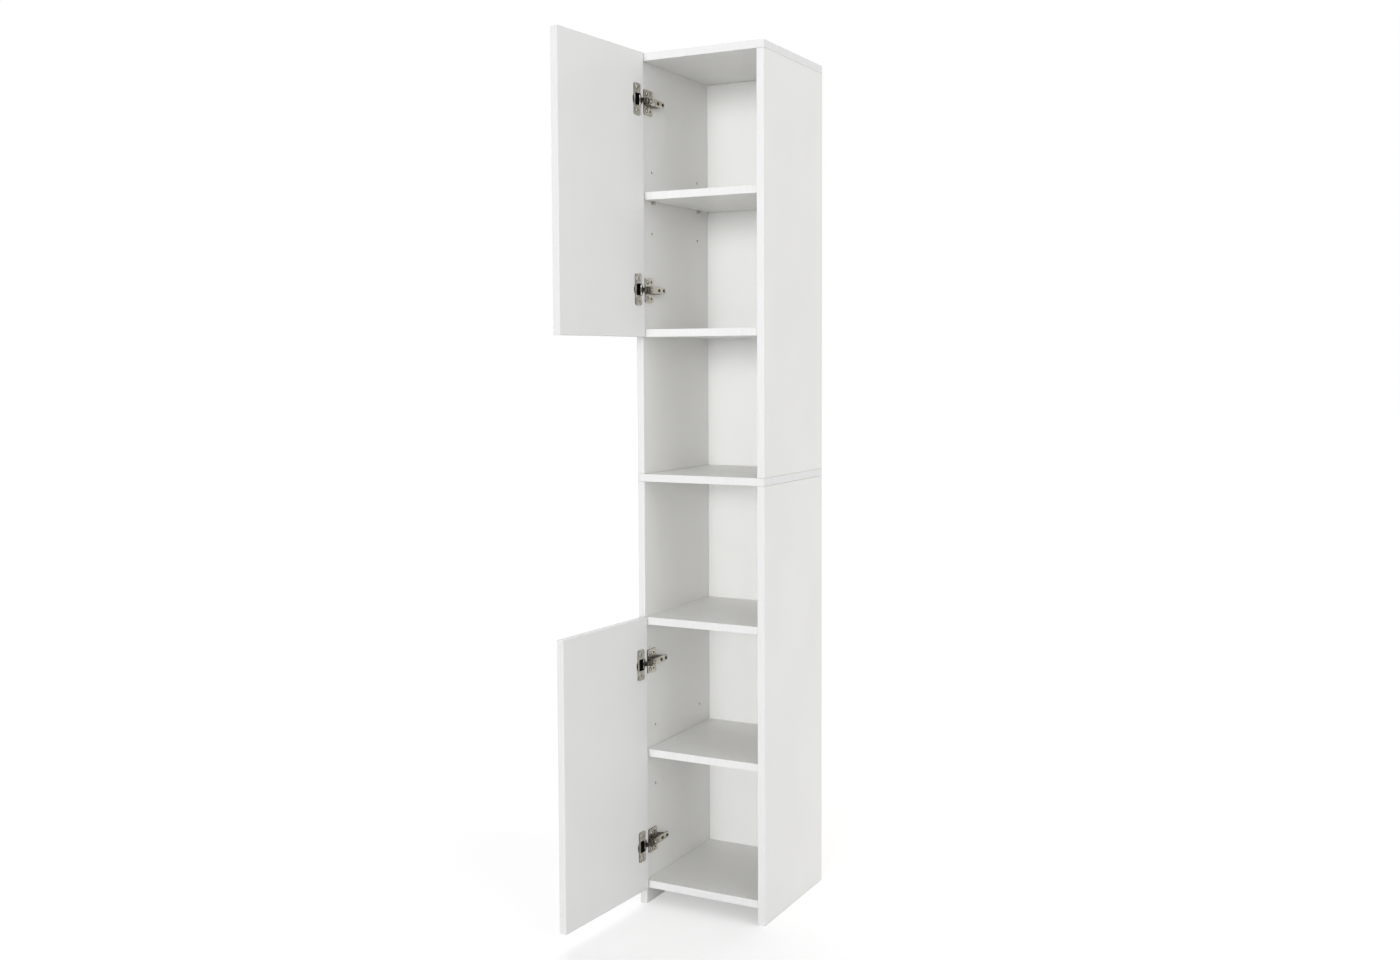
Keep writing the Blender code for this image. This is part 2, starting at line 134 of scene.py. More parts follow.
ARM_SLOTS = ((0.600, 0.0110, 0.0034), (0.885, 0.0095, 0.0032))   # share of the length, length, radius
SLOT_DEEP = 0.0010
NOSE_SHARE = 0.11            # nose painted near-black as shade, as a share of the length
SHADED_CHEEK_FROM = 0.8         # Z part of the normal of a cheek painted near-black as shade
BOSS_SHARE = 0.165           # round boss of the arm's side screw, as a share of its length
BOSS_R = 0.0048
BOSS_HIGH = 0.0008
BOSS_LIP = 0.72              # top and foot of the rim's inside, as shares of the boss's radius
BOSS_FLOOR = 0.68
RIB_ROWS = (                 # share of the arm's length, half width, rise
    (0.27, 0.0006, 0.0), (0.29, 0.0022, 0.0005), (0.34, 0.0030, 0.0007),
    (0.47, 0.0030, 0.0007), (0.51, 0.0022, 0.0005), (0.53, 0.0006, 0.0))
RIB_SUNK = 0.0002
RIB_STEPS = 6
PLATE_FILLET = 0.0028
PLATE_EDGE = 0.0005
PLATE_SHEET = 0.0022
PLATE_BODY_Z = 0.0080        # half the body's height
WING_REACH = 0.018           # half the wings' length
WING_CORNER = 0.004
PLATE_SCREW_STEP = 0.0075    # screws and holes before and behind the wings' middle
PLATE_SCREW_Z = 0.017
PLATE_HOLE_R = 0.0027
PLATE_FLOOR = 0.0004         # what a hole leaves of the sheet, in shadow
DIMPLE_R = 0.0050
DIMPLE_HIGH = 0.0005
RAIL_Z = 0.0043              # half the rail's height
RAIL_START = 0.0125          # rail behind the plate's front
RAIL_END = 0.003             # rail before the plate's rear
CUP_WALL = 0.0009
CUP_LIP = 0.0003
CUP_BOTTOM_ROUND = 0.0016
CUP_BOTTOM_STEPS = 4
CUP_FILLET = 0.001           # between the bowl's wall and its floor
FLANGE_NEAR = -0.0100        # flange from the cup's middle, towards and away from the hinge edge
FLANGE_FAR = 0.0140
FLANGE_CORNER = 0.0045
FLANGE_EDGE = 0.0004
FLANGE_SCREW_Z = 0.024
WINDOW_FAR = 0.0095          # the flange's opening, from the cup's middle
WINDOW_Z = 0.0123
WINDOW_CORNER = 0.003
DAMPER_NEAR = 0.0040         # damper from the cup's middle
DAMPER_FAR = 0.0120
DAMPER_TAPER = 0.0012
DAMPER_HIGH = 0.0035
DAMPER_Z = 0.0078
LINK_HALF = 0.0011           # half the strip's thickness
LINK_WIDTH = 0.0085
LINK_ROUND = 0.00035
EYE_R = 0.0024
EYE_ROUND = 0.0003
EYE_JOIN = 0.8               # where the strip ends in an eye, as a share of its radius
PIN_R = 0.0013
PIN_PLAY = 0.0003
PIN_HEAD_R = 0.0026
PIN_HEAD_HIGH = 0.0006
PIN_HEAD_SUNK = 0.0004
NECK_AHEAD = 0.0065          # link's bend past the cup's pin, away from the hinge edge
NECK_BELOW = 0.0058          # link's bend deeper in the cup than its pin
TURN_STEPS = 48              # segments of large turned shapes
SMALL_STEPS = 24
CORNER_STEPS = 5

CABINET = "cabinet"
ENDS = (("low", -1), ("high", 1))
TO_RIGHT = Matrix.Rotation(math.pi / 2, 4, "Y")    # lays a shape about Z along X
TO_REAR = Matrix.Rotation(-math.pi / 2, 4, "X")    # lays a shape about Z along Y
FRONT, LEFT, RIGHT, BOTTOM, TOP = (1, -1), (0, -1), (0, 1), (2, -1), (2, 1)    # axis, sign
SIDE_NAMES = {FRONT: "front", LEFT: "left", RIGHT: "right", BOTTOM: "bottom", TOP: "top"}

# ---- rest turns of the doors and links, from the record --------------------------------------------
behaviour = frame["record"]["behaviour"]
joints = {joint["name"]: joint for joint in frame["joints"]}
ratios = {row["joint"]: row["ratio"] for row in behaviour["couplings"]}


def rest_turns(level):
    """Turns about Z of a level's link and door, from closed to rest."""
    shut = -math.radians(joints[level + "_door_turn"]["range_deg"][0])
    link = shut * ratios[level + "_link_turn"]
    return Matrix.Rotation(link, 4, "Z"), Matrix.Rotation(link - shut, 4, "Z")


def axis_place(joint):
    """A point of a joint's axis, at rest."""
    return Vector(joints[joint]["pos_m"])


# ---- node trees ------------------------------------------------------------------------------------
class Paint:
    """A principled material, with object coordinates for its patterns."""

    def __init__(self, name, metallic=0.0, specular=0.5, coat=0.0):
        self.material = bpy.data.materials.new(name)
        self.material.use_nodes = True
        self.tree = self.material.node_tree
        self.shader = self.tree.nodes["Principled BSDF"]
        self.shader.inputs["Metallic"].default_value = metallic
        self.shader.inputs["Specular IOR Level"].default_value = specular
        self.shader.inputs["Coat Weight"].default_value = coat
        self.place = self.tree.nodes.new("ShaderNodeTexCoord").outputs["Object"]

    def add(self, kind, inputs, **settings):
        """A new node, with each input linked to a socket or set to a constant."""
        made = self.tree.nodes.new(kind)
        for key, value in settings.items():
            setattr(made, key, value)
        for key, value in inputs.items():
            if isinstance(value, bpy.types.NodeSocket):
                self.tree.links.new(value, made.inputs[key])
            else:
                made.inputs[key].default_value = value
        return made

    def scaled(self, stretch):
        """Object coordinates, scaled along each axis."""
        return self.add("ShaderNodeMapping", {"Vector": self.place, "Scale": stretch}).outputs["Vector"]

    def noise(self, scale, detail=3.0, stretch=(1, 1, 1), rough=0.5):
        """Cloudy values around a half; the scale is in clouds to a metre."""
        return self.add("ShaderNodeTexNoise", {"Vector": self.scaled(stretch), "Scale": scale,
                                               "Detail": detail, "Roughness": rough}).outputs["Fac"]

    def cells(self, scale, stretch=(1, 1, 1)):
        """Outputs of a cell pattern: each cell's own colour, and the distance to its middle."""
        return self.add("ShaderNodeTexVoronoi", {"Vector": self.scaled(stretch), "Scale": scale,
                                                 "Randomness": 1.0}).outputs

    def between(self, value, low, high, out_low=0.0, out_high=1.0):
        """A value's run from low to high, mapped to another run."""
        return self.add("ShaderNodeMapRange", {"Value": value, "From Min": low, "From Max": high,
                                               "To Min": out_low, "To Max": out_high}).outputs["Result"]

    def mix(self, factor, first, second):
        """A colour from the first, at a factor of nothing, to the second, at one."""
        made = self.tree.nodes.new("ShaderNodeMix")
        made.data_type = "RGBA"
        for socket, value in ((made.inputs[0], factor), (made.inputs[6], first), (made.inputs[7], second)):
            if isinstance(value, bpy.types.NodeSocket):
                self.tree.links.new(value, socket)
            else:
                socket.default_value = value
        return made.outputs[2]

    def colour(self, source):
        """Links the base colour."""
        self.tree.links.new(source, self.shader.inputs["Base Color"])

    def roughness(self, source, low, high):
        """Links the roughness to a pattern, between two values."""
        self.tree.links.new(self.between(source, 0.3, 0.7, low, high), self.shader.inputs["Roughness"])

    def bump(self, heights):
        """Bumps from (height, strength, distance) rows, one on another."""
        normal = None
        for height, strength, distance in heights:
            inputs = {"Height": height, "Strength": strength, "Distance": distance}
            if normal:
                inputs["Normal"] = normal
            normal = self.add("ShaderNodeBump", inputs).outputs["Normal"]
        self.tree.links.new(normal, self.shader.inputs["Normal"])


def rgb(red, green, blue):
    """An opaque colour."""
    return (red, green, blue, 1.0)


def shaded(tint, share):
    """A tint made darker, or lighter with a share above one."""
    return rgb(*[part * share for part in tint])


def melamine(name, tint, rough_low, rough_high):
    """White melamine with a fine pearl grain, faint clouds and the marks of wiping."""
    paint = Paint(name, specular=0.42)
    clouds = paint.noise(5.0, detail=2.0)
    specks = paint.noise(1600.0, detail=2.0)
    wiped = paint.noise(26.0, detail=4.0, stretch=(1.0, 1.0, 0.22))
    shade = paint.mix(paint.between(clouds, 0.35, 0.65), shaded(tint, 0.975), rgb(*tint))
    shade = paint.mix(paint.between(specks, 0.62, 0.75, 0.0, 0.30), shade, shaded(tint, 0.90))
    paint.colour(shade)
    paint.roughness(wiped, rough_low, rough_high)
    grain = paint.noise(1100.0)
    waves = paint.noise(14.0, detail=1.0)
    paint.bump([(grain, 0.20, 0.00008), (waves, 0.06, 0.0006)])
    return paint.material


def band_plastic(name, tint):
    """Plastic edge band: long fine lines, scuffed and a little glossier than the board."""
    paint = Paint(name, specular=0.5)
    lines = paint.noise(300.0, detail=2.0, stretch=(1.0, 1.0, 0.05))
    scuffs = paint.between(paint.noise(90.0, detail=5.0, rough=0.7), 0.60, 0.72)
    shade = paint.mix(paint.between(lines, 0.35, 0.65), shaded(tint, 0.97), rgb(*tint))
    paint.colour(paint.mix(paint.between(scuffs, 0.0, 1.0, 0.0, 0.35), shade, rgb(0.70, 0.69, 0.66)))
    paint.roughness(paint.mix(scuffs, rgb(0.3, 0.3, 0.3), rgb(0.7, 0.7, 0.7)), 0.27, 0.5)
    paint.bump([(lines, 0.12, 0.00005), (scuffs, 0.25, 0.00006)])
    return paint.material


def chipboard(name):
    """Raw chipboard: pressed chips of several browns, finer near the faces."""
    paint = Paint(name, specular=0.2)
    chips = paint.cells(420.0)
    flakes = paint.cells(900.0, stretch=(1.0, 0.5, 1.0))
    dust = paint.noise(2200.0, detail=2.0)
    grey = paint.add("ShaderNodeSeparateColor", {"Color": chips["Color"]}).outputs["Red"]
    shade = paint.mix(grey, rgb(0.33, 0.23, 0.13), rgb(0.62, 0.48, 0.31))
    shade = paint.mix(paint.between(flakes["Distance"], 0.0, 0.6, 0.0, 0.5), shade, rgb(0.72, 0.60, 0.42))
    paint.colour(paint.mix(paint.between(dust, 0.3, 0.7, 0.0, 0.35), shade, rgb(0.24, 0.16, 0.09)))
    paint.roughness(dust, 0.8, 0.95)
    paint.bump([(chips["Distance"], 0.5, 0.0003), (dust, 0.4, 0.0001)])
    return paint.material


def hardboard(name):
    """Unpainted rear face of a hardboard back: felted brown fibres with darker flecks."""
    paint = Paint(name, specular=0.25)
    fibres = paint.noise(260.0, detail=6.0, stretch=(1.0, 1.0, 0.45), rough=0.7)
    flecks = paint.cells(170.0)["Distance"]
    shade = paint.mix(paint.between(fibres, 0.3, 0.7), rgb(0.36, 0.25, 0.15), rgb(0.53, 0.40, 0.26))
    paint.colour(paint.mix(paint.between(flecks, 0.0, 0.14, 0.45, 0.0), shade, rgb(0.20, 0.13, 0.08)))
    paint.roughness(fibres, 0.62, 0.82)
    paint.bump([(fibres, 0.35, 0.0002)])
    return paint.material


def plated_metal(name, dark, bright, rough_low, rough_high, direction=(1, 1, 1)):
    """Pressed and plated steel: drawn lines, cloudy plating and small handling marks."""
    paint = Paint(name, metallic=1.0)
    drawn = paint.noise(900.0, stretch=direction)
    clouds = paint.noise(120.0)
    marks = paint.between(paint.noise(520.0, detail=6.0, rough=0.75), 0.63, 0.70)
    shade = paint.mix(paint.between(clouds, 0.3, 0.7), rgb(*dark), rgb(*bright))
    paint.colour(paint.mix(paint.between(marks, 0.0, 1.0, 0.0, 0.5), shade, shaded(dark, 0.45)))
    paint.roughness(clouds, rough_low, rough_high)
    paint.bump([(drawn, 0.10, 0.00005), (marks, 0.2, 0.00004)])
    return paint.material


def dark_plastic_and_shade(name, tint):
    """Dark moulded plastic with a spark-eroded grain; as near-black painted shade it also fills holes,
    slots and recesses.
    """
    paint = Paint(name, specular=0.2)
    grain = paint.noise(2600.0, detail=2.0)
    dust = paint.noise(140.0, detail=4.0)
    paint.colour(paint.mix(paint.between(dust, 0.5, 0.75), rgb(*tint), shaded(tint, 2.2)))
    paint.roughness(dust, 0.45, 0.62)
    paint.bump([(grain, 0.25, 0.00005)])
    return paint.material


def turned_wood(name):
    """Beech for the dowels: long grain and dark pores, along X."""
    paint = Paint(name, specular=0.3)
    grain = paint.noise(160.0, detail=4.0, stretch=(0.2, 1.0, 1.0), rough=0.6)
    pores = paint.between(paint.noise(1500.0, detail=2.0, stretch=(0.12, 1.0, 1.0)), 0.60, 0.70)
    shade = paint.mix(paint.between(grain, 0.3, 0.7), rgb(0.56, 0.38, 0.22), rgb(0.72, 0.54, 0.34))
    paint.colour(paint.mix(pores, shade, rgb(0.36, 0.22, 0.12)))
    paint.roughness(grain, 0.5, 0.7)
    paint.bump([(pores, 0.3, 0.0001)])
    return paint.material


# carcass white lighter than the doors' melamine: painted light, raised to brighten the walls and ceilings
# inside the shelf spaces
WHITE = (0.868, 0.865, 0.845)
FACE = melamine("melamine", WHITE, 0.34, 0.48)
DOOR_FACE = melamine("door_melamine", (0.82, 0.82, 0.815), 0.32, 0.46)
# back panel's white lighter than the carcass's: a painted hardboard face, raised as painted light inside
# the shelf spaces
LIGHTENED_BACK_FACE = melamine("back_paint_lightened", (0.925, 0.925, 0.915), 0.45, 0.6)
# band white darker than the faces': painted shade set against the key light on the front edges
EDGE = band_plastic("edge_band", (0.82, 0.82, 0.82))
RAW = chipboard("chipboard")
BACK_RAW = hardboard("hardboard")
NICKEL = plated_metal("nickel", (0.44, 0.41, 0.35), (0.76, 0.72, 0.64), 0.20, 0.36, (1.0, 0.06, 1.0))
# light nickel for the side screw alone: a painted highlight on its head
NICKEL_PAINTED_HIGHLIGHT = plated_metal("nickel_painted_highlight", (0.74, 0.72, 0.67), (0.90, 0.88, 0.83), 0.14, 0.24)
# near-black nickel: the cut edges of plated sheet, and painted shade and painted dark reflection on edges,
# cheeks, nose, screw seats, bosses, rivets and the depth screw
CUT_EDGE_AND_SHADE_NICKEL = plated_metal("nickel_cut_edge_and_painted_shade", (0.060, 0.054, 0.044), (0.140, 0.128, 0.105), 0.30, 0.45)
# cup nickel lighter than the plate's and arm's: painted reflection of the white surroundings on the flange
CUP_METAL = plated_metal("cup_nickel", (0.52, 0.49, 0.43), (0.82, 0.79, 0.73), 0.18, 0.34, (1.0, 1.0, 0.1))
# near-black link steel: painted shade and painted dark reflection on the link deep between door and side
SHADED_LINK_STEEL = plated_metal("link_steel_painted_shade", (0.070, 0.064, 0.054), (0.180, 0.166, 0.140), 0.26, 0.42)
SCREW_STEEL = plated_metal("screw_steel", (0.46, 0.45, 0.42), (0.64, 0.63, 0.60), 0.18, 0.32)
# near-black painted shade in screw recesses, plate holes, arm slots and the boss's rim
PAINTED_SHADE_RECESS = dark_plastic_and_shade("painted_shade_recess", (0.012, 0.011, 0.009))
# near-black plastic: a dark insert and damper in the cup, and painted shade inside it
CUP_INSERT_AND_SHADE = dark_plastic_and_shade("cup_insert_and_painted_shade", (0.007, 0.0065, 0.006))
PEG_METAL = plated_metal("support_nickel", (0.50, 0.48, 0.45), (0.66, 0.64, 0.60), 0.18, 0.30)
BEECH = turned_wood("beech")


# ---- mesh helpers ----------------------------------------------------------------------------------
def level_box(node, turn=Matrix.Identity(4)):
    """Lowest and highest corner of a CAD node once a turn has been taken out."""
    level = turn.inverted()
    points = [level @ vertex.co for vertex in frame["nodes"][node].data.vertices]
    return (Vector([min(point[i] for point in points) for i in range(3)]),
            Vector([max(point[i] for point in points) for i in range(3)]))


def cad_shape(node, turn=Matrix.Identity(4)):
    """A CAD node's faces, made whole and laid level."""
    shape = bmesh.new()
    shape.from_mesh(frame["nodes"][node].data)
    moved(shape, turn.inverted())
    bmesh.ops.remove_doubles(shape, verts=shape.verts, dist=WELD)
    bmesh.ops.dissolve_limit(shape, angle_limit=FLAT, verts=shape.verts, edges=shape.edges)
    return shape


def round_edges(shape, width, chosen=None, segments=2):
    """Rounds the sharp edges, or those of them that a test picks."""
    edges = [edge for edge in shape.edges
             if len(edge.link_faces) == 2 and edge.calc_face_angle(0.0) > SHARP
             and (chosen is None or chosen(edge))]
    bmesh.ops.bevel(shape, geom=edges, offset=width, offset_type="OFFSET", segments=segments,
                    profile=0.5, affect="EDGES", clamp_overlap=True)


def on_plane(axis, level):
    """A test for the edges that lie at a level along an axis."""
    return lambda edge: all(abs(vertex.co[axis] - level) < WELD for vertex in edge.verts)


def moved(shape, matrix):
    """A shape, turned and moved."""
    bmesh.ops.transform(shape, matrix=matrix, verts=shape.verts)
    return shape


def piece(name, shape, materials, body, turn=None, stands_for=()):
    """Makes a shape into a shown piece that rides on a body."""
    if turn is not None:
        moved(shape, turn)
    bmesh.ops.recalc_face_normals(shape, faces=shape.faces)
    mesh = bpy.data.meshes.new(name)
    shape.to_mesh(mesh)
    shape.free()
    for material in materials:
        mesh.materials.append(material)
    mesh.shade_smooth()
    mesh.set_sharp_from_angle(angle=SMOOTH_BELOW)
    made = bpy.data.objects.new(name, mesh)
    bpy.context.scene.collection.objects.link(made)
    weigh = made.modifiers.new("weigh_normals", "WEIGHTED_NORMAL")
    weigh.keep_sharp = True
    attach(made, body)
    if stands_for:
        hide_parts(*stands_for)
    return made


def block(low, high):
    """A box between two corners."""
    shape = bmesh.new()
    bmesh.ops.create_cube(shape, size=1.0)
    bmesh.ops.scale(shape, vec=Vector(high) - Vector(low), verts=shape.verts)
    bmesh.ops.translate(shape, vec=(Vector(high) + Vector(low)) / 2, verts=shape.verts)
    return shape


def loft(rings, capped=True):
    """Quads between closed rings that have the same number of points."""
    shape = bmesh.new()
    rows = [[shape.verts.new(point) for point in ring] for ring in rings]
    for first, second in zip(rows, rows[1:]):
        for i in range(len(first)):
            j = (i + 1) % len(first)
            shape.faces.new((first[i], first[j], second[j], second[i]))
    if capped:
        shape.faces.new(rows[0])
        shape.faces.new(rows[-1])
    return shape


def prism(points, axis, low, high):
    """A flat outline made thick along an axis; points are in the other two axes, in order."""
    others = [i for i in range(3) if i != axis]

    def lifted(point, level):
        place = Vector((0, 0, 0))
        place[others[0]], place[others[1]] = point
        place[axis] = level
        return place
    return loft([[lifted(point, level) for point in points] for level in (low, high)])


def turned(profile, steps=SMALL_STEPS):
    """A shape turned about Z from (radius, height) points; a radius of 0 is on the axis."""
    shape = bmesh.new()
    rows = []
    for radius, height in profile:
        count = steps if radius > 0 else 1
        rows.append([shape.verts.new((radius * math.cos(2 * math.pi * i / steps),
                                      radius * math.sin(2 * math.pi * i / steps), height))
                     for i in range(count)])
    for first, second in zip(rows, rows[1:]):
        for i in range(steps):
            j = (i + 1) % steps
            corners = [first[i % len(first)], first[j % len(first)],
                       second[j % len(second)], second[i % len(second)]]
            unique = list(dict.fromkeys(corners))
            if len(unique) > 2:
                shape.faces.new(unique)
    return shape


def arc(middle, radius, start, end, steps=CORNER_STEPS):
    """Points along an arc between two angles, in degrees."""
    angles = [math.radians(start + (end - start) * i / steps) for i in range(steps + 1)]
    return [(middle[0] + radius * math.cos(angle), middle[1] + radius * math.sin(angle))
            for angle in angles]


def circle(middle, radius, steps=SMALL_STEPS):
    """Points around a circle, the first one not repeated."""
    return arc(middle, radius, 0, 360 * (steps - 1) / steps, steps - 1)


def merge(shape, other):
    """Adds another shape's faces to a shape."""
    mesh = bpy.data.meshes.new("merged")
    other.to_mesh(mesh)
    other.free()
    shape.from_mesh(mesh)
    bpy.data.meshes.remove(mesh)
    return shape


def mesh_object(shape, slots):
    """A shape as an object of its own, with empty material slots."""
    made = bpy.data.objects.new("carved", bpy.data.meshes.new("carved"))
    bpy.context.scene.collection.objects.link(made)
    shape.to_mesh(made.data)
    shape.free()
    for _ in range(slots):
        made.data.materials.append(None)
    return made


def carved(shape, cutters, mark=1):
    """A shape less its cutters; faces that a cutter leaves take the marked material."""
    for cutter in cutters:
        bmesh.ops.recalc_face_normals(cutter, faces=cutter.faces)
        for face in cutter.faces:
            face.material_index = mark
    bmesh.ops.recalc_face_normals(shape, faces=shape.faces)
    subject, *tools = [mesh_object(one, mark + 1) for one in [shape] + cutters]
    for tool in tools:
        step = subject.modifiers.new("cut", "BOOLEAN")
        step.operation = "DIFFERENCE"
        step.solver = "EXACT"
        step.material_mode = "INDEX"
        step.object = tool
    graph = bpy.context.evaluated_depsgraph_get()
    made = bmesh.new()
    made.from_mesh(bpy.data.meshes.new_from_object(subject.evaluated_get(graph)))
    for used in [subject] + tools:
        bpy.data.objects.remove(used, do_unlink=True)
    return made


# ---- boards ----------------------------------------------------------------------------------------
def band_piece(node, side, low, high, body, turn):
    """One edge band, flush with its board's edge, with its outer arrises rounded."""
    axis, sign = side
    shape = block(low, high)
    outer = high[axis] if sign > 0 else low[axis]
    round_edges(shape, BAND_ROUND, on_plane(axis, outer), 3)
    piece(f"{node}_band_{SIDE_NAMES[side]}", shape, [EDGE], body, turn)


def board(node, bands, body=CABINET, turn=Matrix.Identity(4), face=FACE):
    """A faced chipboard panel with its holes and grooves, and bands along the sides that are named."""
    shape = cad_shape(node, turn)
    low, high = level_box(node, turn)
    thin = min(range(3), key=lambda i: high[i] - low[i])
    core_low, core_high = low.copy(), high.copy()
    for side in bands:
        axis, sign = side
        band_low, band_high = core_low.copy(), core_high.copy()
        if sign > 0:
            band_low[axis] = high[axis] - BAND
            core_high[axis] = band_low[axis] - SEAM
        else:
            band_high[axis] = low[axis] + BAND
            core_low[axis] = band_high[axis] + SEAM
        band_piece(node, side, band_low, band_high, body, turn)
        plane = core_high if sign > 0 else core_low
        normal = Vector((0, 0, 0))
        normal[axis] = sign
        cut = bmesh.ops.bisect_plane(shape, geom=shape.verts[:] + shape.edges[:] + shape.faces[:],
                                     plane_co=plane, plane_no=normal, clear_outer=True)
        rim = [item for item in cut["geom_cut"] if isinstance(item, bmesh.types.BMEdge)]
        bmesh.ops.edgeloop_fill(shape, edges=rim)
    round_edges(shape, BOARD_ROUND)
    shape.normal_update()
    for part in shape.faces:
        level = part.calc_center_median()[thin]
        on_face = min(abs(level - low[thin]), abs(level - high[thin])) < BOARD_ROUND
        part.material_index = 0 if on_face else 1
    piece(node + "_panel", shape, [face, RAW], body, turn, (node,))


for level in ("lower", "upper"):
    for side in ("left", "right"):
        board(f"{level}_{side}_side", (FRONT, BOTTOM) if level == "lower" else (FRONT,))
    board(f"{level}_fixed_shelf", (FRONT,))
    board(f"{level}_adjustable_shelf", (FRONT,))
    board(f"{level}_door", (LEFT, RIGHT, BOTTOM, TOP), f"{level}_door_leaf",
          rest_turns(level)[1], DOOR_FACE)
board("bottom_panel", (FRONT,))
board("mid_panel", (LEFT, RIGHT, FRONT))
board("top_panel", (LEFT, RIGHT, FRONT))


def nail_rows(low, high):
    """Places of a back panel's nails, along its two long edges and its ends."""
    count = round((high.z - low.z) / NAIL_STEP)
    for i in range(count + 1):
        z = low.z + NAIL_START + (high.z - low.z - 2 * NAIL_START) * i / count
        for x in (low.x + NAIL_INSET, high.x - NAIL_INSET):
            yield Vector((x, high.y, z))
    for z in (low.z + NAIL_END_INSET, high.z - NAIL_END_INSET):
        for share in NAIL_END_SHARES:
            yield Vector((low.x + (high.x - low.x) * share, high.y, z))


def back_panel(node):
    """A hardboard back: painted in front, raw behind, and nailed into the rebates."""
    low, high = level_box(node)
    shape = cad_shape(node)
    round_edges(shape, BOARD_ROUND)
    shape.normal_update()
    for part in shape.faces:
        part.material_index = 0 if part.normal.y < -FACING else 1
    piece(node + "_sheet", shape, [LIGHTENED_BACK_FACE, BACK_RAW], CABINET, None, (node,))
    profile = [(0, -NAIL_HIGH), (NAIL_R * 0.6, -NAIL_HIGH), (NAIL_R, 0.0), (NAIL_R, NAIL_HIGH * 0.5),
               (NAIL_R * 0.8, NAIL_HIGH), (0, NAIL_HIGH)]
    nails = bmesh.new()
    for place in nail_rows(low, high):
        merge(nails, moved(turned(profile, NAIL_STEPS), Matrix.Translation(place) @ TO_REAR))
    piece(node + "_nails", nails, [SCREW_STEEL], CABINET)


for level in ("lower", "upper"):
    back_panel(f"{level}_back_panel")


# ---- shelf supports --------------------------------------------------------------------------------
def shelf_support(node, inward):
    """A turned peg with a collar, a grooved head and a chamfered tip."""
    low, high = level_box(node)
    head = (high.z - low.z) / 2
    shank = head * PEG_SHANK
    tip = (high.x - low.x) / 2
    foot, face, top = PEG_COLLAR
    profile = [(0, -tip), (shank * 0.7, -tip), (shank, PEG_CHAMFER - tip), (shank, foot),
               (head * 0.97, face), (head, top)]
    profile += zip((head, head * PEG_WAIST, head * PEG_WAIST, head), PEG_GROOVE)
    profile += [(head, tip - PEG_NOSE[0]), (head * 0.93, tip - PEG_NOSE[1]), (head * 0.72, tip), (0, tip)]
    lay = Matrix.Translation((low + high) / 2) @ Matrix.Rotation(inward * math.pi / 2, 4, "Y")
    shape = moved(turned(profile), lay)
    piece(node + "_peg", shape, [PEG_METAL], CABINET, None, (node,))


for level in ("lower", "upper"):
    for side, inward in (("left", 1), ("right", -1)):
        for line in ("front", "rear"):
            shelf_support(f"shelf_support_{level}_{side}_{line}", inward)


# ---- screws ----------------------------------------------------------------------------------------
def screw_mesh(name, radius, height, flat, metal):
    """A screw head about Z, seated at 0, with a cross recess painted near-black as shade; flat is the
    share of its flat top.
    """
    profile = [(0, -height * 0.5), (radius * 0.6, -height * 0.5), (radius * 0.95, 0.0),
               (radius, height * 0.25), (radius * (1 + flat) / 2, height * 0.8),
               (radius * flat, height), (0, height)]
    deep = height * CROSS_DEEP
    cutters = []
    for along, across in ((CROSS_LONG, CROSS_THICK), (CROSS_THICK, CROSS_LONG)):
        cutters.append(block((-radius * along, -radius * across, height - deep),
                             (radius * along, radius * across, height * 2)))
    shape = carved(turned(profile), cutters)
    mesh = bpy.data.meshes.new(name)
    shape.to_mesh(mesh)
    shape.free()
    for material in (metal, PAINTED_SHADE_RECESS):
        mesh.materials.append(material)
    mesh.shade_smooth()
    mesh.set_sharp_from_angle(angle=SMOOTH_BELOW)
    return mesh


WOOD_SCREW = screw_mesh("wood_screw", 0.0038, 0.0013, 0.45, SCREW_STEEL)
EURO_SCREW = screw_mesh("euro_screw", 0.0042, 0.0017, 0.6, SCREW_STEEL)
# side screw in the light nickel: painted highlight
SIDE_SCREW = screw_mesh("side_screw", 0.0031, 0.0012, 0.7, NICKEL_PAINTED_HIGHLIGHT)
# depth screw head in the near-black nickel: painted shade in its slot
DEPTH_SCREW = screw_mesh("depth_screw", 0.0033, 0.0012, 0.7, CUT_EDGE_AND_SHADE_NICKEL)


def screw(name, mesh, place, direction, spin, body):
    """A screw head at a place, facing a direction, turned about its own axis."""
    made = bpy.data.objects.new(name, mesh)
    bpy.context.scene.collection.objects.link(made)
    facing = Vector(direction).to_track_quat("Z", "Y").to_matrix().to_4x4()
    made.matrix_world = Matrix.Translation(place) @ facing @ Matrix.Rotation(spin, 4, "Z")
    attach(made, body)


# ---- hinges ----------------------------------------------------------------------------------------
def cut_and_shaded_edges(shape, axis):
    """Gives the edge faces of a plate, thin along an axis, the near-black nickel: a cut edge, darkened
    further as painted shade and painted dark reflection.
    """
    shape.normal_update()
    for part in shape.faces:
        part.material_index = 0 if abs(part.normal[axis]) > FACING else 1


